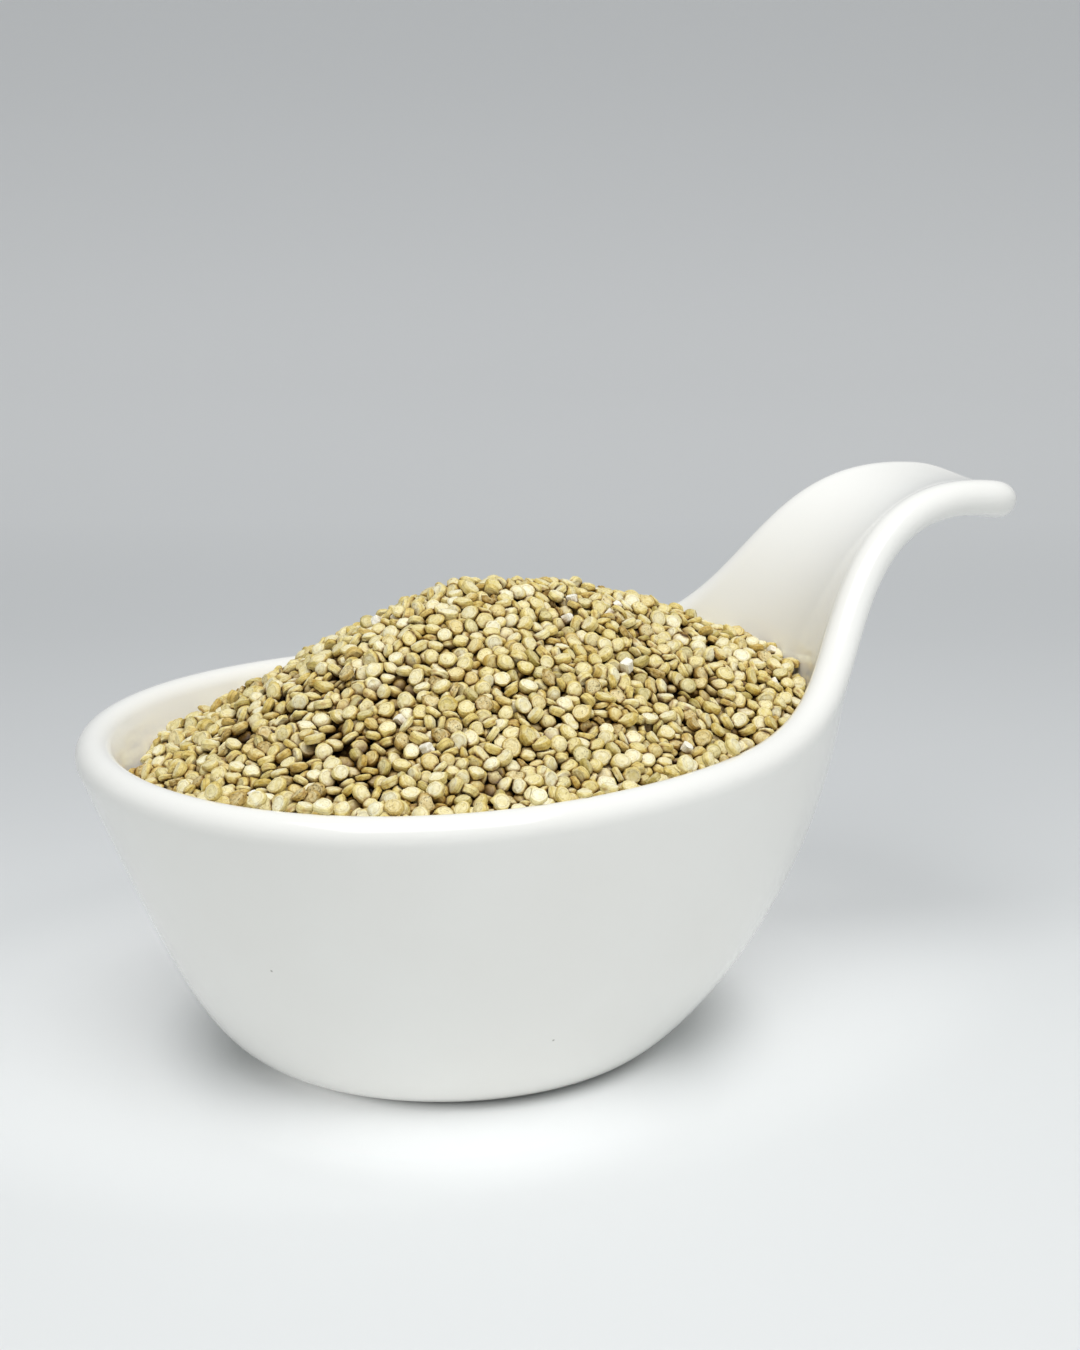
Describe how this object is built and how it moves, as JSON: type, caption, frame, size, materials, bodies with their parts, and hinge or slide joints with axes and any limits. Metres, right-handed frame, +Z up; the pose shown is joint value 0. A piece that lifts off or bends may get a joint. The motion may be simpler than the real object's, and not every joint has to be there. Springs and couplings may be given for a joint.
{
  "type": "bowl of quinoa",
  "caption": "White porcelain serving dish, oval with a curled-over handle at one end, heaped with dry white quinoa grains.",
  "frame": {"origin": "middle of the dish's flat foot, on the table", "axes": "+X from the bowl towards the tip of the handle, +Y to the left of the handle, +Z up"},
  "size_m": [0.1223, 0.0752, 0.0626],
  "materials": {
    "glazed_porcelain": "smooth white gloss glaze over fired porcelain",
    "quinoa_grain": "dry, matt to faintly waxy seed coats, cream to straw coloured"
  },
  "bodies": {
    "root": {"bowl": "glazed_porcelain", "quinoa": "quinoa_grain"}
  },
  "joints": []
}
